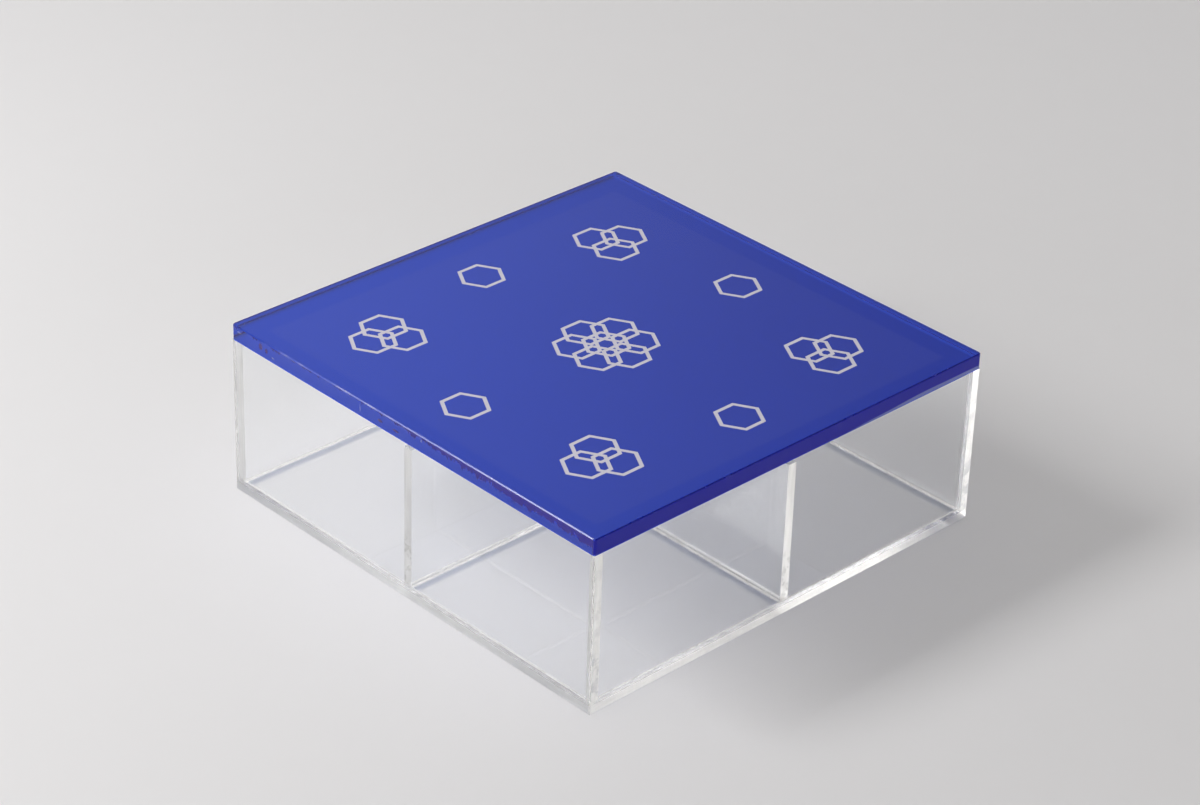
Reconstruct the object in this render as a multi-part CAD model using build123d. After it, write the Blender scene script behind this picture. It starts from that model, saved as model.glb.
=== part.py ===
from build123d import *
import math
import os

# A square lidded box of clear acrylic sheet with four compartments. Five sheets are bonded edge to face
# into an open box, two slotted sheets cross inside it, and a loose lid rests on the wall tops.
# Millimetres. +Z is up, +X is right, +Y is back. The origin is the centre of the base's underside.

# Box
box_width = 150.0            # outside, left to right
box_depth = 150.0            # outside, front to back
wall_height = 47.0           # the walls stand on the base sheet
base_thickness = 3.0
wall_thickness = 3.0
edge_break = 0.3             # flat broken on the sharp outer edges of the cut sheets

# Cross dividers
divider_thickness = 3.0
divider_drop = 2.4           # how far the divider tops stay below the wall tops
slot_clearance = 0.1         # how much wider a slot is than the sheet that it takes

# Lid
lid_thickness = 5.0          # the clear sheet with the colour coat on its underside
lid_corner_radius = 1.0      # the lid's upright corners, rounded when its edges were polished
coat_thickness = 0.2         # blue coat, which also fills round the printed lines
print_thickness = 0.1        # pale lines, printed on the clear sheet before the coat
locator_thickness = 2.0      # clear sheet below the lid that drops in between the walls
locator_clearance = 0.5      # gap from the locating sheet to each wall

# Printed pattern: six-sided cells drawn as plain outlines
cell_width = 13.0            # across the flats, outside the line
line_width = 1.15
cell_pitch = 8.5             # centre to centre of cells that overlap in a group
group_inset = 31.0           # from the lid's edges to the centre of each corner group
single_inset = 22.0          # from the lid's edges to the centre of each single cell
cell_sides = 6
cells_in_group = 3           # in each corner of the lid

# Levels and lengths that follow from the sizes above
base_top = base_thickness
wall_top = base_top + wall_height
divider_height = wall_height - divider_drop
half_lap = divider_height / 2
slot_width = divider_thickness + slot_clearance
inside_width = box_width - 2 * wall_thickness
inside_depth = box_depth - 2 * wall_thickness
coat_top = wall_top + coat_thickness

ABOVE = (Align.CENTER, Align.CENTER, Align.MIN)
BELOW = (Align.CENTER, Align.CENTER, Align.MAX)


def sheet(width, depth, height, x=0.0, y=0.0, z=0.0, align=ABOVE):
    """A plain cut sheet, placed by the middle of its lower face, or of its upper face with BELOW."""
    return Pos(x, y, z) * Box(width, depth, height, align=align)


def along(edges, direction):
    """The edges that run along one axis, such as Axis.Z."""
    return edges.filter_by(direction)


def base_plate():
    """The sheet that everything stands on. Its top edges stay sharp, flush under the walls."""
    plate = sheet(box_width, box_depth, base_thickness)
    outside = along(plate.edges(), Axis.Z) + plate.faces().sort_by(Axis.Z)[0].edges()
    return chamfer(outside, edge_break)


def long_wall(side):
    """Front or back wall: it runs the whole width and covers the ends of the side walls."""
    middle = side * (box_depth - wall_thickness) / 2
    wall = sheet(box_width, wall_thickness, wall_height, y=middle, z=base_top)
    uprights = along(wall.edges(), Axis.Z).sort_by(Axis.Y)
    corners = uprights[2:] if side > 0 else uprights[:2]
    return chamfer(corners, edge_break)


def side_wall(side):
    """Left or right wall, bonded between the front and back walls."""
    middle = side * (box_width - wall_thickness) / 2
    return sheet(wall_thickness, inside_depth, wall_height, x=middle, z=base_top)


def divider_left_right():
    """Runs from the left wall to the right one, with its slot cut down from the top edge."""
    divider = sheet(inside_width, divider_thickness, divider_height, z=base_top)
    return divider - sheet(slot_width, divider_thickness, half_lap, z=base_top + half_lap)


def divider_front_back():
    """Runs from the front wall to the back one, with its slot cut up from the bottom edge."""
    divider = sheet(divider_thickness, inside_depth, divider_height, z=base_top)
    return divider - sheet(divider_thickness, slot_width, half_lap, z=base_top)


def lid_layer(height, z):
    """A layer of the lid, flush with the box on all sides, which were cut with the coat already on."""
    outline = RectangleRounded(box_width, box_depth, lid_corner_radius)
    return extrude(Pos(0, 0, z) * outline, height)


def lid_plate():
    """The clear sheet of the lid. Its top edges are broken and its lower ones stay sharp, on the coat."""
    plate = lid_layer(lid_thickness - coat_thickness, coat_top)
    return chamfer(plate.faces().sort_by(Axis.Z)[-1].edges(), edge_break)


def lid_locating_plate():
    """The smaller sheet bonded below the lid. It keeps the lid from sliding off the walls."""
    width = inside_width - 2 * locator_clearance
    depth = inside_depth - 2 * locator_clearance
    plate = sheet(width, depth, locator_thickness, z=wall_top, align=BELOW)
    drop_in = along(plate.edges(), Axis.Z) + plate.faces().sort_by(Axis.Z)[0].edges()
    return chamfer(drop_in, edge_break)


def cell_ring(x, y):
    """One outline round (x, y), with flats that face left and right."""
    turn = 180.0 / cell_sides
    outer = RegularPolygon(cell_width / 2, cell_sides, major_radius=False, rotation=turn)
    inner = RegularPolygon(cell_width / 2 - line_width, cell_sides, major_radius=False, rotation=turn)
    return Pos(x, y) * (outer - inner)


def ring_of_places(x, y, count, distance, start):
    """Places evenly round (x, y), the first of them in the direction start, in degrees."""
    angles = [math.radians(start + 360.0 * i / count) for i in range(count)]
    return [(x + distance * math.cos(a), y + distance * math.sin(a)) for a in angles]


def pattern_places():
    """Centres of the cells: a medallion, a group of three in each corner and a single at each side."""
    places = [(0.0, 0.0)] + ring_of_places(0.0, 0.0, cell_sides, cell_pitch, 0.0)
    group_x = box_width / 2 - group_inset
    group_y = box_depth / 2 - group_inset
    group_radius = cell_pitch / (2 * math.sin(math.pi / cells_in_group))
    for side_x in (-1, 1):
        for side_y in (-1, 1):
            towards_back = 90.0 * side_y
            places += ring_of_places(side_x * group_x, side_y * group_y,
                                     cells_in_group, group_radius, towards_back)
    single_x = box_width / 2 - single_inset
    single_y = box_depth / 2 - single_inset
    places += [(-single_x, 0.0), (single_x, 0.0), (0.0, -single_y), (0.0, single_y)]
    return places


def lid_line_print():
    """The pale lines, directly under the clear sheet of the lid."""
    lines = Sketch() + [cell_ring(x, y) for x, y in pattern_places()]
    return extrude(Pos(0, 0, coat_top - print_thickness) * lines, print_thickness)


def lid_colour_coat(lines):
    """The blue coat under the lid, which covers the lines from below and fills the space round them."""
    return lid_layer(coat_thickness, wall_top) - lines


line_print = lid_line_print()

nodes = {
    "base_plate": base_plate(),
    "front_wall": long_wall(-1),
    "back_wall": long_wall(1),
    "left_wall": side_wall(-1),
    "right_wall": side_wall(1),
    "divider_left_right": divider_left_right(),
    "divider_front_back": divider_front_back(),
    "lid_plate": lid_plate(),
    "lid_colour_coat": lid_colour_coat(line_print),
    "lid_line_print": line_print,
    "lid_locating_plate": lid_locating_plate(),
}

os.makedirs("parts", exist_ok=True)
for name, solid in nodes.items():
    export_step(solid, f"parts/{name}.step")
    size = solid.bounding_box().size
    print(f"{name}: {len(solid.solids())} solids, {size.X:.2f} x {size.Y:.2f} x {size.Z:.2f} mm,"
          f" {solid.volume / 1000:.2f} cm3")
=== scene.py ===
# %% [markdown]
# # A clear box with a blue lid
# The imported model is the frame that everything here is built round. It holds the sheets of the box at their
# real sizes, in metres, and Blender only dresses them: it never moves or resizes one.

# %% Load the frame
import math

import bmesh
import bpy
from mathutils import Matrix, Vector


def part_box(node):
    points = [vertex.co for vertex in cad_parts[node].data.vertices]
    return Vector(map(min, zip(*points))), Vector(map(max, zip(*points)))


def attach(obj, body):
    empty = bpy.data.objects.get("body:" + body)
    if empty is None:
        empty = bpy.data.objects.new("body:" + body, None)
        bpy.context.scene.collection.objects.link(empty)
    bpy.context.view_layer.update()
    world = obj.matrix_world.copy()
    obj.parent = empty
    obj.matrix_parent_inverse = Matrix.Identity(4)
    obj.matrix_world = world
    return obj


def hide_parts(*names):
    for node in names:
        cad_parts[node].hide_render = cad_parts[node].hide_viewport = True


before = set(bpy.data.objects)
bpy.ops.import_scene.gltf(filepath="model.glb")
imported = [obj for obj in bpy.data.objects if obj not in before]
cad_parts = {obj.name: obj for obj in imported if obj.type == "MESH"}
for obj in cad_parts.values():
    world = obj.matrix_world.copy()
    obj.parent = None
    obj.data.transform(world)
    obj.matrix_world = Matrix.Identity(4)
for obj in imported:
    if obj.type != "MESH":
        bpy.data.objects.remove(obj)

MM = 0.001
scene = bpy.context.scene
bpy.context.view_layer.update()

# %% [markdown]
# ## The camera
# The box was photographed from above its front corner with a long lens, which keeps its edges nearly
# parallel. The view is written as a photographer would note it: the direction, the height, the distance, a
# slight tilt of the camera and the lens. The aim point is where the middle of the picture falls.

# %% Camera
CAMERA_AZIMUTH = 45.69       # degrees, 0 looks along +Y
CAMERA_ELEVATION = 30.34
CAMERA_ROLL = 1.91
CAMERA_DISTANCE = 0.9856     # metres
CAMERA_AIM = Vector((-8.53, 6.68, 27.5)) * MM
CAMERA_LENS = 102.2          # mm, on a sensor 36 mm wide


def direction(azimuth, elevation):
    """The unit vector from the object towards a place seen at that azimuth and elevation."""
    a, e = math.radians(azimuth), math.radians(elevation)
    return Vector((math.sin(a) * math.cos(e), -math.cos(a) * math.cos(e), math.sin(e)))


towards_camera = direction(CAMERA_AZIMUTH, CAMERA_ELEVATION)
camera = bpy.data.objects.new("camera", bpy.data.cameras.new("camera"))
scene.collection.objects.link(camera)
scene.camera = camera
camera.data.sensor_width = 36.0
camera.data.lens = CAMERA_LENS
camera.data.clip_start = 0.05
camera.data.clip_end = 50.0
camera.location = CAMERA_AIM + towards_camera * CAMERA_DISTANCE
level = (-towards_camera).to_track_quat("-Z", "Y").to_matrix()
camera.rotation_euler = (level @ Matrix.Rotation(math.radians(CAMERA_ROLL), 3, "Z")).to_euler()
print("camera at", [round(x, 4) for x in camera.location])

# %% [markdown]
# ## Writing materials as sums
# A material's pattern is a little arithmetic on noise and positions. The class below wraps one socket of a
# node, so that the arithmetic reads as arithmetic, and every node of a material comes from one method, `add`.
# Colours go through Mix nodes, because a Math node would turn them grey.


# %% Helpers for materials
class Value:
    """A number that changes over the surface: one output socket, with sums written as on paper."""

    def __init__(self, paint, socket):
        self.paint = paint
        self.socket = socket

    def sum(self, operation, *others):
        inputs = dict(enumerate((self, *others)))
        return self.paint.add("ShaderNodeMath", {"operation": operation}, inputs)["Value"]

    def __add__(self, other):
        return self.sum("ADD", other)

    def __sub__(self, other):
        return self.sum("SUBTRACT", other)

    def __rsub__(self, other):
        return self * -1.0 + other

    def __mul__(self, other):
        return self.sum("MULTIPLY", other)

    __radd__ = __add__
    __rmul__ = __mul__

    def over(self, low, high):
        """0 below low, 1 above high, and a smooth step between."""
        settings = {"interpolation_type": "SMOOTHSTEP"}
        inputs = {"Value": self, "From Min": low, "From Max": high}
        return self.paint.add("ShaderNodeMapRange", settings, inputs)["Result"]

    def under(self, low, high):
        """1 below low, 0 above high, and a smooth step between."""
        return 1.0 - self.over(low, high)

    def without_sign(self):
        """How far the number is from 0."""
        return self.sum("ABSOLUTE")

    def at_least(self, other):
        return self.sum("MAXIMUM", other)


def socket_named(sockets, name):
    """The socket with this name, or number, that is in use: a Mix node has several of each name."""
    if isinstance(name, int):
        return sockets[name]
    return next(s for s in sockets if s.name == name and s.enabled)


class Outputs:
    """The outputs of a new node, by name."""

    def __init__(self, paint, node):
        self.paint = paint
        self.node = node

    def __getitem__(self, name):
        return Value(self.paint, socket_named(self.node.outputs, name))


class Paint:
    """The nodes of one material, or of the world."""

    def __init__(self, owner, output):
        owner.use_nodes = True
        self.owner = owner
        self.output = output
        self.tree = owner.node_tree
        self.tree.nodes.clear()

    def add(self, kind, settings, inputs):
        """A node of this kind: its settings come first, then values or links for its sockets."""
        node = self.tree.nodes.new(kind)
        for name, value in settings.items():
            setattr(node, name, value)
        for name, value in inputs.items():
            socket = socket_named(node.inputs, name)
            if isinstance(value, Value):
                self.tree.links.new(value.socket, socket)
            else:
                socket.default_value = value
        return Outputs(self, node)

    def place(self):
        """Where on the object the surface is: x, y and z, in metres."""
        whole = self.add("ShaderNodeTexCoord", {}, {})["Object"]
        parts = self.add("ShaderNodeSeparateXYZ", {}, {"Vector": whole})
        return parts["X"], parts["Y"], parts["Z"]

    def noise(self, scale, detail=2.0, roughness=0.5, stretch=(1.0, 1.0, 1.0)):
        """Soft noise from 0 to 1, with this many waves to the metre, in the object's own frame."""
        whole = self.add("ShaderNodeTexCoord", {}, {})["Object"]
        inputs = {0: whole, 1: stretch}
        place = self.add("ShaderNodeVectorMath", {"operation": "MULTIPLY"}, inputs)["Vector"]
        inputs = {"Vector": place, "Scale": scale, "Detail": detail, "Roughness": roughness}
        return self.add("ShaderNodeTexNoise", {}, inputs)["Fac"]

    def blend(self, share, first, second):
        """A colour between two: first where share is 0, second where it is 1."""
        inputs = {"Factor": share, "A": first, "B": second}
        return self.add("ShaderNodeMix", {"data_type": "RGBA"}, inputs)["Result"]

    def bump(self, height, depth):
        """A normal that follows this height, where a height of 1 stands depth metres proud."""
        return self.add("ShaderNodeBump", {}, {"Height": height, "Distance": depth})["Normal"]

    def surface(self, **inputs):
        """A Principled surface, with sockets written as words: Base_Color is its Base Color."""
        inputs = {name.replace("_", " "): value for name, value in inputs.items()}
        return self.add("ShaderNodeBsdfPrincipled", {}, inputs)["BSDF"]

    def acrylic(self, colour, roughness, **others):
        """Clear acrylic sheet, which bends the light."""
        return self.surface(Base_Color=colour, Roughness=roughness, Transmission_Weight=1.0,
                            IOR=ACRYLIC_IOR, **others)

    def clear(self, passed):
        """Lets light straight through, dimmed to the share passed, or tinted with a colour."""
        colour = passed if isinstance(passed, tuple) else (passed, passed, passed, 1.0)
        return self.add("ShaderNodeBsdfTransparent", {}, {"Color": colour})["BSDF"]

    def mix(self, share, first, second):
        """One shader between two."""
        return self.add("ShaderNodeMixShader", {}, {0: share, 1: first, 2: second})["Shader"]

    def to_lamps(self, shader, lit):
        """The shader, except for rays that bring light to something beyond it: for those it is lit."""
        rays = self.add("ShaderNodeLightPath", {}, {})
        lamps = rays["Is Shadow Ray"].at_least(rays["Is Diffuse Ray"])
        return self.mix(lamps, shader, lit)

    def clear_to_lamps(self, shader, passed):
        """Lets lamps shine straight through a clear surface, so that it casts a light shadow."""
        return self.to_lamps(shader, self.clear(passed))

    def finish(self, shader):
        """Makes this shader the material's own."""
        self.add(self.output, {}, {"Surface": shader})
        return self.owner


def new_paint(name):
    return Paint(bpy.data.materials.new(name), "ShaderNodeOutputMaterial")


def dimmed(colour, share):
    """The colour, at this share of its brightness."""
    return tuple(share * part for part in colour[:3]) + (1.0,)


# %% [markdown]
# ## Clear acrylic
# Acrylic bends light a little less than glass. Its faces are as smooth as the paper-covered sheet came, and
# only handling has left faint smears and fine scratches on them. A lamp shines through a sheet almost
# undimmed, which a renderer finds hard to see through a bending surface, so lamps are let straight through.

# %% Polished faces
ACRYLIC_IOR = 1.49
LET_THROUGH = 0.985          # of a lamp's light, at each face that it crosses
CLEAR_TINT = (0.99, 0.995, 1.0, 1.0)
SMEARED_TINT = (0.98, 0.985, 0.985, 1.0)
POLISHED = 0.003             # roughness of a face as it came, and what handling adds to it
SMEARED = 0.02
SCRATCHED = 0.05


def polished_acrylic(name, wear):
    """The broad faces of a clear sheet. The wear, from 0 to 1, is how much it has been handled."""
    paint = new_paint(name)
    smears = paint.noise(45.0, 3.0, 0.6).over(0.52, 0.78)
    scratches = paint.noise(900.0, 2.0, 0.5, (1.0, 0.03, 1.0)).over(0.70, 0.74)
    tint = paint.blend(smears, CLEAR_TINT, SMEARED_TINT)
    shader = paint.acrylic(tint, POLISHED + wear * (SMEARED * smears + SCRATCHED * scratches))
    return paint.finish(paint.clear_to_lamps(shader, LET_THROUGH))


# %% [markdown]
# ## Underside of the base
# The box slides over tables, so the underside of its base is rubbed a little dull. Light that came in by the
# side of a wall meets this face so aslant that it turns back into the sheet, so the table is dim in a soft
# band below whatever stands on the base.

# %% Underside
DIM_BELOW_WALLS = (0.56, 0.60, 0.70, 1.0)
DIM_SPREAD = 1.4 * MM        # how far the dim band reaches past the foot of a wall
RUBBED = 0.12                # roughness
INNER_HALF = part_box("back_wall")[0].y    # from the middle of the box to the inside of a wall
DIVIDER_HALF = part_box("divider_left_right")[1].y


def underside(name):
    """The face that the box stands on, with the dim bands below walls and dividers."""
    paint = new_paint(name)
    shader = paint.acrylic(CLEAR_TINT, RUBBED)
    x, y, z = paint.place()
    below = 0.0 * z
    for place in (x, y):
        away = place.without_sign()
        below = below.at_least(away.over(INNER_HALF - DIM_SPREAD, INNER_HALF))
        below = below.at_least(away.under(DIVIDER_HALF, DIVIDER_HALF + DIM_SPREAD))
    lit = paint.mix(below, paint.clear(LET_THROUGH), paint.clear(DIM_BELOW_WALLS))
    return paint.finish(paint.to_lamps(shader, lit))


# %% [markdown]
# ## Cut edges
# Every edge glows where light that entered its sheet elsewhere comes out again. The edges that look up, left
# or back, and the narrow flats broken on the corners, are even. Those that look right or to the front were
# scraped, so they are frosted and streaked: warmer on the right, where the upright ends of the front and back
# walls are duller, and mottled most of all low down. The edges in front are also tinted grey, a painted
# shade for the dimmer table behind the box, which they show through their sheet.

# %% Edges of the box
ALONG_LEVEL = (0.12, 0.12, 1.0)          # how noise is stretched into streaks that run level
ALONG_UPRIGHT = (1.0, 1.0, 0.12)
WARM = (0.98, 0.965, 0.92, 1.0)          # light that ran far inside a sheet
PALE_WARM = (0.95, 0.935, 0.89, 1.0)
DULL = (0.87, 0.855, 0.81, 1.0)
# Painted shade: this grey dims the edges and joints that look to the front.
PAINTED_SHADE_GREY = (0.73, 0.735, 0.74, 1.0)
MOTTLE = (0.35, 0.35, 0.36, 1.0)
FROST = (0.60, 0.60, 0.59, 1.0)
PALE_FROST = (0.75, 0.75, 0.74, 1.0)
MARK_DEPTH = 0.004 * MM
LUMPS_TO = 22.0 * MM         # below this height the cement gets lumpy, and the mottles stronger
LUMPS_FULL = 16.0 * MM       # and from here down both are at their fullest


def cut_edge(name, streaks, roughness, tint, frosted, wavy, mottled=0.0):
    """The scraped edge of a clear sheet, with marks that run along it. Frosted is the share of white
    scratches, wavy is how unevenly it was scraped, and mottled is how much dimmer some parts of it are."""
    paint = new_paint(name)
    marks = paint.noise(1500.0, 2.0, 0.6, streaks)
    waves = paint.noise(160.0, 2.0, 0.5, streaks)
    patches = paint.noise(90.0, 3.0, 0.6).over(0.4, 0.65)
    z = paint.place()[2]
    mottles = (1.0 - 0.5 * z.over(LUMPS_FULL, LUMPS_TO)) * paint.noise(260.0, 3.0, 0.6).over(0.45, 0.62)
    streaky = paint.blend(marks.over(0.3, 0.7), dimmed(tint, 0.85), tint)
    clear = paint.acrylic(paint.blend(mottled * mottles, streaky, MOTTLE), roughness + 0.10 * patches,
                          Normal=paint.bump(marks * 0.4 + waves * wavy, MARK_DEPTH))
    frost = paint.surface(Base_Color=paint.blend(marks, FROST, PALE_FROST), Roughness=0.6)
    shader = paint.mix(frosted + 0.08 * patches, clear, frost)
    return paint.finish(paint.clear_to_lamps(shader, LET_THROUGH))


def sawn_edge(name, roughness):
    """An edge that was sawn clean and left: even, and without marks that show."""
    paint = new_paint(name)
    clear = paint.acrylic(WARM, roughness + 0.04 * paint.noise(60.0))
    return paint.finish(paint.clear_to_lamps(clear, LET_THROUGH))


# %% [markdown]
# ## Bonded joints
# Where two sheets are bonded, thin solvent cement has made them one, and light goes on from one into the
# other, but for a haze with streaks along the joint. The cement ran down before it dried, so it stands in
# lumps low down at the ends of the dividers. On the base it left a thin milky film.

# %% Joints
JOINT_CLEAR = 0.99           # of any light, where there is no haze
JOINT_LET_THROUGH = 0.98     # of a lamp's light
BEAD_LET_THROUGH = 0.97
CEMENT = (0.75, 0.74, 0.71, 1.0)
PALE_CEMENT = (0.92, 0.91, 0.87, 1.0)
MILK = (0.84, 0.82, 0.77, 1.0)
PALE_MILK = (0.92, 0.90, 0.86, 1.0)
MILK_THROUGH = (0.88, 0.86, 0.82, 1.0)
LUMP_DEPTH = 0.01 * MM
AT_DIVIDER = 3.0 * DIVIDER_HALF * MM     # x times y is below this in the middle of a divider's end
OFF_DIVIDER = 300.0 * DIVIDER_HALF * MM  # and above this from about 6 mm away on


def upright_joint(name, roughness, tint, haze):
    """An upright bonded face: partly clear, and partly it turns light a little aside."""
    paint = new_paint(name)
    grain = paint.noise(700.0, 3.0, 0.6, ALONG_UPRIGHT)
    cloud = paint.noise(70.0, 3.0, 0.6, ALONG_UPRIGHT).over(0.35, 0.65)
    x, y, z = paint.place()
    cemented = (x * y).without_sign().under(AT_DIVIDER, OFF_DIVIDER) * z.under(LUMPS_FULL, LUMPS_TO)
    blobs = paint.noise(420.0, 2.0, 0.6)
    lumps = cemented * blobs.over(0.48, 0.60)
    bright = cemented * blobs.over(0.60, 0.68)
    streaky = paint.blend(grain.over(0.35, 0.65), dimmed(tint, 0.8), tint)
    soft = paint.acrylic(paint.blend(lumps, streaky, dimmed(tint, 0.4)), roughness + 0.16 * (grain - 0.5),
                         Normal=paint.bump(grain + lumps, LUMP_DEPTH))
    white = paint.surface(Base_Color=paint.blend(grain, CEMENT, PALE_CEMENT), Roughness=0.7)
    hazy = paint.mix(0.12 + 0.6 * bright, soft, white)
    shader = paint.mix(haze + 0.2 * (cloud - 0.5), paint.clear(JOINT_CLEAR), hazy)
    return paint.finish(paint.clear_to_lamps(shader, JOINT_LET_THROUGH))


def milky_layer(name, scale, thinnest, varies, passed):
    """Dried cement, clear in part. Its warm white scatters half of the light back and lets half through.
    Thinnest is the least share of white anywhere, and varies is how much more there is in places."""
    paint = new_paint(name)
    cloud = paint.noise(scale, 2.0, 0.5).over(0.3, 0.7)
    white = paint.surface(Base_Color=paint.blend(cloud, MILK, PALE_MILK), Roughness=0.7)
    through = paint.add("ShaderNodeBsdfTranslucent", {}, {"Color": MILK_THROUGH})["BSDF"]
    milky = paint.mix(0.5, white, through)
    shader = paint.mix(thinnest + varies * cloud, paint.clear(JOINT_CLEAR), milky)
    return paint.finish(paint.clear_to_lamps(shader, passed))


# %% [markdown]
# ## Edges of the lid
# The lid's edges were polished, so they show the blue below the sheet. Some of the colour ran onto them and
# dried there, dark blue to violet. It covers the right edge down to a wavy line near its foot, the upper part
# of the left one, a ragged strip along the top of the front one, and a thin rim along the foot of the left
# and back ones. The front edge has a few nicks with colour in them and a few pale scratches.

# %% Lid edges
STAIN = (0.004, 0.004, 0.20, 1.0)
DARK_STAIN = (0.022, 0.004, 0.10, 1.0)
NICK = (0.050, 0.022, 0.10, 1.0)
BARE = (0.13, 0.15, 0.31, 1.0)           # scuffed sheet with the blue behind it
WORN_WHITE = (0.5, 0.5, 0.62, 1.0)
LID_LOW, LID_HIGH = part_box("lid_plate")
PAST_EDGE = 0.05 * MM        # a face this near to the outside of the lid is its edge
FLAT_FROM, FLAT_TO = 0.3 * MM, 0.4 * MM  # how far in from the lid's outside its broken flats end
RIGHT_LINE = 49.9 * MM       # where the stain ends on each edge, as a height above the table
RIGHT_RISE = 1.1 * MM        # towards the back
RIGHT_WAVES = 1.6 * MM
LEFT_LINE = 53.4 * MM
FRONT_LINE = 54.6 * MM
FRONT_DROP = 2.3 * MM        # towards the right
RIM_FULL, RIM_TO = 50.7 * MM, 51.0 * MM
NICKS = [                    # on the front edge: x, z, half width, half height, in mm
    (-62.0, 53.0, 0.9, 1.2), (-59.4, 52.6, 0.7, 0.9), (-10.0, 52.2, 1.2, 0.5), (-3.5, 51.9, 1.5, 0.4)]
SCRATCHES = [
    (-56.5, 51.5, 0.8, 0.25), (-18.5, 52.5, 0.12, 1.6), (7.0, 53.6, 0.3, 0.5), (-71.8, 53.4, 0.9, 0.25)]


def spots(x, z, places):
    """1 inside each of these small ovals, 0 outside them."""
    inside = 0.0 * x
    for middle_x, middle_z, half_width, half_height in places:
        across = (x - middle_x * MM) * (1.0 / (half_width * MM))
        up = (z - middle_z * MM) * (1.0 / (half_height * MM))
        inside = inside.at_least((across * across + up * up).under(0.5, 1.0))
    return inside


def lid_edge(name):
    """A polished edge of the lid's sheet, with the dried colour on it."""
    paint = new_paint(name)
    x, y, z = paint.place()
    ragged = paint.noise(500.0, 3.0, 0.7, (1.0, 1.0, 0.4)) - 0.5
    wavy = paint.noise(30.0, 1.0, 0.5, (1.0, 1.0, 0.0)) - 0.5
    on_right = x.over(LID_HIGH.x - 1.2 * MM, LID_HIGH.x - 0.4 * MM)
    on_left = x.under(LID_LOW.x + PAST_EDGE, LID_LOW.x + 2 * PAST_EDGE)
    on_front = y.under(LID_LOW.y + PAST_EDGE, LID_LOW.y + 2 * PAST_EDGE)
    on_back = y.over(LID_HIGH.y - 2 * PAST_EDGE, LID_HIGH.y - PAST_EDGE)

    right_line = RIGHT_LINE + RIGHT_RISE * y.over(-10.0 * MM, 75.0 * MM) + RIGHT_WAVES * wavy
    right = on_right * (z - right_line).over(0.0, 0.35 * MM)
    front_line = FRONT_LINE - FRONT_DROP * x.over(-20.0 * MM, 55.0 * MM)
    front = on_front * (z + 6.0 * MM * ragged - front_line).over(0.0, 0.2 * MM)
    left = on_left * (z + 0.5 * MM * ragged - LEFT_LINE).over(0.0, 0.3 * MM)
    rim = on_left.at_least(0.8 * on_back) * z.under(RIM_FULL, RIM_TO)
    nicks = on_front * spots(x + 0.4 * MM * ragged, z, NICKS)
    scratches = on_front * spots(x + 0.3 * MM * ragged, z, SCRATCHES)

    bare = (0.65 * on_right).at_least(0.6 * scratches)
    clear = paint.acrylic(CLEAR_TINT, 0.02)
    clear = paint.mix(bare, clear, paint.surface(Base_Color=BARE, Roughness=0.4))
    dried = on_front.at_least(on_left).at_least(on_back) * (0.6 + ragged)
    colour = paint.blend(nicks, paint.blend(dried, STAIN, DARK_STAIN), NICK)
    stain = paint.surface(Base_Color=colour, Roughness=0.1, Specular_IOR_Level=0.3)
    stained = right.at_least(0.8 * front).at_least(0.95 * left.at_least(rim)).at_least(0.85 * nicks)
    return paint.finish(paint.clear_to_lamps(paint.mix(stained, clear, stain), LET_THROUGH))


def broken_edge(name):
    """The narrow flat on the lid's top edges: stained on the right and the left, and worn white in spots
    on the front, except near its left end."""
    paint = new_paint(name)
    x, y, z = paint.place()
    on_right = x.over(LID_HIGH.x - FLAT_TO, LID_HIGH.x - FLAT_FROM)
    on_left = x.under(LID_LOW.x + FLAT_FROM, LID_LOW.x + FLAT_TO)
    on_front = y.under(LID_LOW.y + FLAT_FROM, LID_LOW.y + FLAT_TO)
    wear = paint.noise(120.0, 3.0, 0.7)
    worn = x.over(-62.0 * MM, -48.0 * MM)
    clear = paint.acrylic(CLEAR_TINT, 0.05 + 0.35 * worn * wear)
    white = paint.surface(Base_Color=WORN_WHITE, Roughness=0.5)
    scraped = paint.mix(0.25 * on_front * worn * wear.over(0.48, 0.62), clear, white)
    colour = paint.blend(on_left, STAIN, DARK_STAIN)
    stain = paint.surface(Base_Color=colour, Roughness=0.2, Specular_IOR_Level=0.3)
    shader = paint.mix(0.85 * on_right.at_least(on_left), scraped, stain)
    return paint.finish(paint.clear_to_lamps(shader, LET_THROUGH))


def printed_face(name):
    """The underside of the lid's sheet, wetted all over by the coat, so nothing shows of the face itself."""
    paint = new_paint(name)
    return paint.finish(paint.clear(1.0))


# %% [markdown]
# ## The sheets of the box
# Each sheet is a copy of its solid from the frame, broken edges and slots included. It is cut along every
# line where a neighbour begins or ends, which doesn't change its shape but gives each joint a face of its
# own. Then every face gets its finish. Bonded faces draw back by a hair, so that no two lie in one place.

# %% Sort a sheet's faces
TOUCHING = 0.02 * MM         # nearer than this, two faces are bonded
HAIR = 0.005 * MM


def neighbours_planes(node, others):
    """The planes of the neighbours' boxes that pass through this sheet."""
    low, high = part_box(node)
    planes = set()
    for other in others:
        other_low, other_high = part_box(other)
        if all(other_low[i] < high[i] + TOUCHING and other_high[i] > low[i] - TOUCHING for i in range(3)):
            for i in range(3):
                for place in (other_low[i], other_high[i]):
                    if low[i] + TOUCHING < place < high[i] - TOUCHING:
                        planes.add((i, round(place, 6)))
    return sorted(planes)


def is_inside(point, others):
    """True if a neighbour's box holds this point."""
    for other in others:
        low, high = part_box(other)
        if all(low[i] < point[i] < high[i] for i in range(3)):
            return True
    return False


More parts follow.
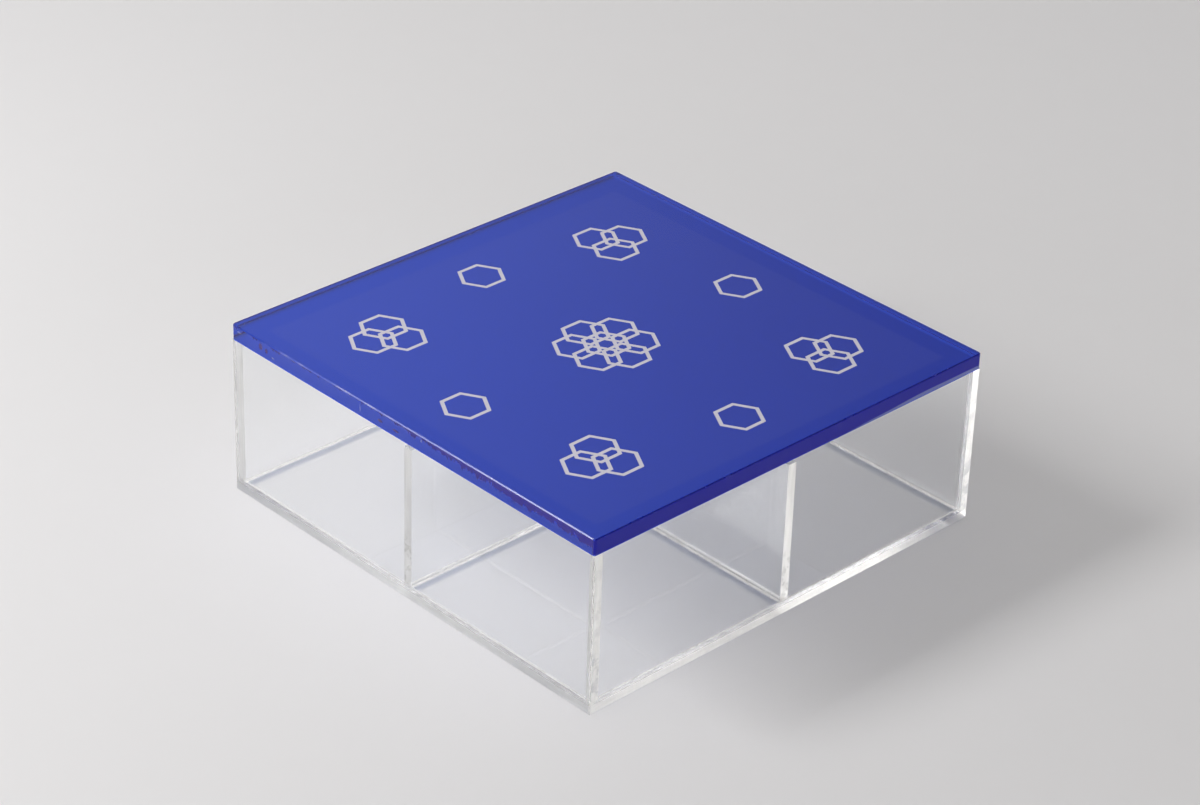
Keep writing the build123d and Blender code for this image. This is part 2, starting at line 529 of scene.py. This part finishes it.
def kind_of(face, thin, others):
    """What a face is, by where it looks and what it touches: a few words, which name its finish."""
    middle = face.calc_center_median()
    axis = max(range(3), key=lambda i: abs(face.normal[i]))
    if is_inside(middle + face.normal * TOUCHING, others):
        return "bonded " + ("sideways", "front", "level")[axis]
    if abs(face.normal[thin]) > 0.9:
        return "underside" if face.normal.z < -0.9 else "polished"
    if abs(face.normal[thin]) > 0.3:
        return "broken"
    right_or_left = "right" if face.normal.x > 0.0 else "left"
    looks = (right_or_left, "back" if face.normal.y > 0.0 else "front", "level")[axis]
    tall = max(v.co.z for v in face.verts) - min(v.co.z for v in face.verts)
    wide = max((a.co - b.co).xy.length for a in face.verts for b in face.verts)
    return f"cut {looks}, upright" if tall > wide else "cut " + looks


def dress_sheet(node, others, finishes, body):
    """A copy of a sheet with a finish on each of its faces."""
    low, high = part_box(node)
    size = high - low
    thin = min(range(3), key=lambda i: size[i])
    shape = bmesh.new()
    shape.from_mesh(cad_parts[node].data)
    bmesh.ops.remove_doubles(shape, verts=shape.verts, dist=0.001 * MM)
    bmesh.ops.dissolve_limit(shape, angle_limit=math.radians(0.5), verts=shape.verts, edges=shape.edges)
    for axis, place in neighbours_planes(node, others):
        normal = Vector([float(i == axis) for i in range(3)])
        everything = shape.verts[:] + shape.edges[:] + shape.faces[:]
        bmesh.ops.bisect_plane(shape, geom=everything, dist=TOUCHING / 10,
                               plane_co=normal * place, plane_no=normal)
    shape.normal_update()
    shape.verts.index_update()
    faces = [[vertex.index for vertex in face.verts] for face in shape.faces]
    kinds = [kind_of(face, thin, others) for face in shape.faces]
    places = [vertex.co.copy() for vertex in shape.verts]
    drawn_back = set()
    for face, kind in zip(shape.faces, kinds):
        if kind.startswith("bonded"):
            step = tuple(round(n) for n in face.normal)
            drawn_back |= {(vertex.index, step) for vertex in face.verts}
    for index, step in drawn_back:
        places[index] -= Vector(step) * HAIR
    shape.free()
    mesh = bpy.data.meshes.new(node + "_sheet")
    mesh.from_pydata(places, [], faces)
    used = sorted(set(kinds))
    for kind in used:
        mesh.materials.append(finishes[kind])
    mesh.polygons.foreach_set("material_index", [used.index(kind) for kind in kinds])
    sheet = bpy.data.objects.new(node + "_sheet", mesh)
    scene.collection.objects.link(sheet)
    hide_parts(node)
    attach(sheet, body)
    print(node, {kind: kinds.count(kind) for kind in used})


# %% Box sheets
BOX_SHEETS = ["base_plate", "front_wall", "back_wall", "left_wall", "right_wall",
              "divider_left_right", "divider_front_back"]
CUT_FRONT = (0.38, PAINTED_SHADE_GREY, 0.08, 0.3)      # roughness, tint, frosted, wavy and, for the last, mottled
CUT_RIGHT = (0.32, WARM, 0.02, 1.0)
CUT_RIGHT_UPRIGHT = (0.55, DULL, 0.04, 1.0, 0.9)
sawn_back = sawn_edge("sawn_back", 0.08)
sawn_left = sawn_edge("sawn_left", 0.36)
box_finishes = {
    "polished": polished_acrylic("clear_face", 1.0),
    "underside": underside("underside"),
    "broken": sawn_edge("broken", 0.20),
    "cut level": sawn_edge("sawn_top", 0.24),
    "cut back": sawn_back,
    "cut back, upright": sawn_back,
    "cut left": sawn_left,
    "cut left, upright": sawn_left,
    "cut front": cut_edge("cut_front", ALONG_LEVEL, *CUT_FRONT),
    "cut front, upright": cut_edge("cut_front_upright", ALONG_UPRIGHT, *CUT_FRONT),
    "cut right": cut_edge("cut_right", ALONG_LEVEL, *CUT_RIGHT),
    "cut right, upright": cut_edge("cut_right_upright", ALONG_UPRIGHT, *CUT_RIGHT_UPRIGHT),
    "bonded level": milky_layer("bonded_level", 120.0, 0.08, 0.08, JOINT_LET_THROUGH),
    # the joints that look to the front take the same painted-shade grey
    "bonded front": upright_joint("bonded_front", 0.38, PAINTED_SHADE_GREY, 0.75),
    "bonded sideways": upright_joint("bonded_side", 0.5, PALE_WARM, 0.8),
}
for node in BOX_SHEETS:
    others = [other for other in BOX_SHEETS if other != node]
    dress_sheet(node, others, box_finishes, "box")

# %% [markdown]
# ## Cement beads
# The solvent cement was fed into the joints from inside the compartments, and a little of it stayed at the
# foot of each sheet as a thin milky bead with a slanting face. One ring of it runs round each compartment.

# %% Beads
BEAD_WIDTH = 0.25 * MM       # on the base
BEAD_HEIGHT = 0.6 * MM       # on the sheet that stands on it
AIR = 0.01 * MM              # keeps the bead's faces off those of the sheets


def bead_ring(low, high, foot):
    """Points and faces of a bead round a compartment from low to high, on a floor at height foot."""
    points = []
    for inset, height in ((0.0, 0.0), (BEAD_WIDTH, 0.0), (0.0, BEAD_HEIGHT)):
        inset += AIR
        points += [(x, y, foot + AIR + height) for x, y in (
            (low.x + inset, low.y + inset), (high.x - inset, low.y + inset),
            (high.x - inset, high.y - inset), (low.x + inset, high.y - inset))]
    faces = []
    for ring, following in ((0, 4), (4, 8), (8, 0)):
        for i in range(4):
            j = (i + 1) % 4
            faces.append((ring + j, ring + i, following + i, following + j))
    return points, faces


points, faces = [], []
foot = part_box("base_plate")[1].z
inner_low = Vector((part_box("left_wall")[1].x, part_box("front_wall")[1].y, 0.0))
inner_high = Vector((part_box("right_wall")[0].x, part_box("back_wall")[0].y, 0.0))
across_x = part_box("divider_front_back")
across_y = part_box("divider_left_right")
for x_low, x_high in ((inner_low.x, across_x[0].x), (across_x[1].x, inner_high.x)):
    for y_low, y_high in ((inner_low.y, across_y[0].y), (across_y[1].y, inner_high.y)):
        ring_points, ring_faces = bead_ring(Vector((x_low, y_low, 0.0)), Vector((x_high, y_high, 0.0)), foot)
        faces += [tuple(len(points) + i for i in face) for face in ring_faces]
        points += ring_points
bead_mesh = bpy.data.meshes.new("cement_beads")
bead_mesh.from_pydata(points, [], faces)
bead_mesh.materials.append(milky_layer("cement_bead", 160.0, 0.25, 0.2, BEAD_LET_THROUGH))
beads = bpy.data.objects.new("cement_beads", bead_mesh)
scene.collection.objects.link(beads)
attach(beads, "box")
print("cement beads:", len(faces), "faces")

# %% [markdown]
# ## The sheets of the lid
# The lid's sheet and the locating sheet are dressed in the same way. Only the coat between them counts as
# their neighbour, and where they touch it, it has wetted them and their faces don't show.

# %% Lid sheets
LID_SHEETS = ["lid_plate", "lid_locating_plate"]
lid_face = polished_acrylic("lid_face", 0.5)
edge_of_lid = lid_edge("lid_edge")
lid_finishes = {
    "polished": lid_face,
    "underside": lid_face,
    "broken": broken_edge("lid_broken_edge"),
    "bonded level": printed_face("lid_underside"),
}
for looks in ("front", "back", "left", "right"):
    lid_finishes["cut " + looks] = edge_of_lid
    lid_finishes[f"cut {looks}, upright"] = edge_of_lid
for node in LID_SHEETS:
    dress_sheet(node, ["lid_colour_coat"], lid_finishes, "lid")

# %% [markdown]
# ## Colour coat and printed lines
# The lines are printed on the underside of the lid sheet first and the blue is laid over them, so both are
# seen through the clear sheet, with its gloss on top. From below the coat shows its chalky back.

# %% Blue coat
COAT_LOW, COAT_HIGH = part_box("lid_colour_coat")
LEFT_BLUE = (0.007, 0.046, 0.49, 1.0)
# Painted shade: the blue is darker on the right, away from the lamp.
SHADED_RIGHT_BLUE = (0.006, 0.030, 0.38, 1.0)
LEFT_EDGE_BLUE = (0.008, 0.014, 0.10, 1.0)
# Painted light: the blue is brighter along the far edge, where the lamp's light turns back off it.
BACK_EDGE_PAINTED_LIGHT = (0.010, 0.050, 0.52, 1.0)
COAT_BACK = (0.53, 0.56, 0.67, 1.0)      # no sheet wets this side of the coat
BONDED_PALE = (0.30, 0.30, 0.50, 1.0)
BONDED_FADE = 1.5 * MM
BONDED_SHARE = 0.955         # of the locating sheet's width: its bond doesn't quite reach its edges
BONDED_LOW, BONDED_HIGH = [corner * BONDED_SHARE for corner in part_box("lid_locating_plate")]


def blue_coat(name):
    """The blue: a painted shade makes it deeper towards the right, away from the lamp, and dimmer near the
    left edge, where less light comes in; a painted light makes it brighter along the far one, where light
    turns back off that edge; and it is paler where the locating sheet is bonded below."""
    paint = new_paint(name)
    x, y, z = paint.place()
    cloud = paint.noise(14.0, 3.0, 0.5) - 0.5
    # Painted shade: darker towards the right, away from the lamp, with an uneven edge from the cloud.
    shade_to_right = (x + y + 40.0 * MM * cloud).over(-125.0 * MM, 125.0 * MM)
    blue = paint.blend(shade_to_right, LEFT_BLUE, SHADED_RIGHT_BLUE)
    bonded = x.over(BONDED_LOW.x, BONDED_LOW.x + BONDED_FADE)
    bonded = bonded * x.under(BONDED_HIGH.x - BONDED_FADE, BONDED_HIGH.x)
    bonded = bonded * y.over(BONDED_LOW.y, BONDED_LOW.y + BONDED_FADE)
    bonded = bonded * y.under(BONDED_HIGH.y - BONDED_FADE, BONDED_HIGH.y)
    blue = paint.blend(0.035 * bonded, blue, BONDED_PALE)
    by_left = x.under(COAT_LOW.x - 0.5 * MM, COAT_LOW.x + 2.0 * MM)
    blue = paint.blend(0.6 * by_left, blue, LEFT_EDGE_BLUE)
    # Painted light along the far edge.
    painted_light_by_back = y.over(COAT_HIGH.y - 1.6 * MM, COAT_HIGH.y - 0.8 * MM)
    blue = paint.blend(painted_light_by_back, blue, BACK_EDGE_PAINTED_LIGHT)
    underneath = z.under(COAT_LOW.z + 0.01 * MM, COAT_LOW.z + 0.02 * MM)
    blue = paint.blend(underneath, blue, COAT_BACK)
    return paint.finish(paint.surface(Base_Color=blue, Roughness=0.55, Specular_IOR_Level=0.0))


def pale_lines(name):
    """The lines' grey print, with a fine grain."""
    paint = new_paint(name)
    grain = paint.noise(900.0, 2.0, 0.6)
    pale = paint.blend(grain, (0.60, 0.58, 0.66, 1.0), (0.68, 0.66, 0.73, 1.0))
    return paint.finish(paint.surface(Base_Color=pale, Roughness=0.6, Specular_IOR_Level=0.0))


def repaint(node, material):
    """Gives a node of the frame, which is shown as it is, its finish."""
    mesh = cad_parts[node].data
    mesh.materials.clear()
    mesh.materials.append(material)


repaint("lid_colour_coat", blue_coat("blue_coat"))
repaint("lid_line_print", pale_lines("pale_lines"))

# %% [markdown]
# ## Table and light
# The box stands on a plain pale sweep. A long soft lamp hangs to the left, in line with the box's side, so
# the lid's shadow falls to the right and its far edge is crisper than its front one. The room adds low light
# from all round, which comes in under the lid, and a little from a pale wall on the lamp's side. How bright
# the room looks, in the lid's gloss and through the sheets, is set apart from the light that it gives.

# %% Table
TABLE_DROP = 0.1 * MM        # a breath of air between the table and the base sheet
TABLE_HALF = 6.0             # metres


def table_paper(name):
    """Matt pale paper, with a faint grain."""
    paint = new_paint(name)
    grain = paint.noise(60.0, 3.0, 0.6)
    pale = paint.blend(grain, (0.79, 0.78, 0.78, 1.0), (0.80, 0.79, 0.79, 1.0))
    return paint.finish(paint.surface(Base_Color=pale, Roughness=0.8))


corners = [(x * TABLE_HALF, y * TABLE_HALF, -TABLE_DROP) for x, y in ((-1, -1), (1, -1), (1, 1), (-1, 1))]
table_mesh = bpy.data.meshes.new("table")
table_mesh.from_pydata(corners, [], [(0, 1, 2, 3)])
table_mesh.materials.append(table_paper("table_paper"))
table = bpy.data.objects.new("table", table_mesh)
scene.collection.objects.link(table)

# %% Lamp
LAMP_AZIMUTH = -38.0         # degrees, as for the camera
LAMP_ELEVATION = 38.5
LAMP_DISTANCE = 1.0          # metres
LAMP_LENGTH = 0.54
LAMP_WIDTH = 0.23
LAMP_POWER = 5.6             # watts

outwards = direction(LAMP_AZIMUTH, LAMP_ELEVATION)
lengthways = Vector((0.0, 1.0, 0.0))
lengthways = (lengthways - outwards * lengthways.dot(outwards)).normalized()
across = lengthways.cross(outwards)
lamp = bpy.data.objects.new("softbox", bpy.data.lights.new("softbox", "AREA"))
scene.collection.objects.link(lamp)
lamp.data.shape = "RECTANGLE"
lamp.data.size = LAMP_WIDTH
lamp.data.size_y = LAMP_LENGTH
lamp.data.energy = LAMP_POWER
lamp.location = outwards * LAMP_DISTANCE
lamp.rotation_euler = Matrix((across, lengthways, outwards)).transposed().to_euler()

# %% Room
LOW_LIGHT = 3.8              # from low down all round, which lights the box from under its lid
LOW_FULL, LOW_TO = 0.20, 0.42            # heights of a direction between which that light ends
SIDE_LIGHT = 0.31            # from the pale wall on the lamp's side
SIDE_FADE = 0.3              # how far it reaches round, to either side of straight on
SHOWN_LEFT = 0.76            # what the lid's gloss mirrors, on the lamp's side and on the other
SHOWN_RIGHT = 0.12
SHOWN_LOW = 0.2              # added low down
ROOM_TINT = (1.0, 0.99, 0.99, 1.0)
BOUNCES = 96                 # light runs a long way inside a clear sheet

world = bpy.data.worlds.new("room")
scene.world = world
room = Paint(world, "ShaderNodeOutputWorld")
seen = room.add("ShaderNodeTexCoord", {}, {})["Generated"]
height = room.add("ShaderNodeSeparateXYZ", {}, {"Vector": seen})["Z"]
low_down = height.under(LOW_FULL, LOW_TO)
lamp_side = tuple(direction(CAMERA_AZIMUTH - 90.0, 0.0))
sideways = room.add("ShaderNodeVectorMath", {"operation": "DOT_PRODUCT"}, {0: seen, 1: lamp_side})["Value"]
at_left = sideways.over(-SIDE_FADE, SIDE_FADE)
lights = LOW_LIGHT * low_down + SIDE_LIGHT * at_left
shows = SHOWN_RIGHT + (SHOWN_LEFT - SHOWN_RIGHT) * at_left + SHOWN_LOW * low_down
rays = room.add("ShaderNodeLightPath", {}, {})
looked_at = rays["Is Camera Ray"].at_least(rays["Is Glossy Ray"]).at_least(rays["Is Transmission Ray"])
strength = lights + looked_at * (shows - lights)
background = room.add("ShaderNodeBackground", {}, {"Color": ROOM_TINT, "Strength": strength})
room.finish(background["Background"])

scene.view_settings.view_transform = "Standard"
scene.cycles.blur_glossy = 0.0           # light that runs inside a sheet stays sharp
scene.cycles.max_bounces = BOUNCES
scene.cycles.glossy_bounces = BOUNCES
scene.cycles.transmission_bounces = BOUNCES
scene.cycles.transparent_max_bounces = BOUNCES
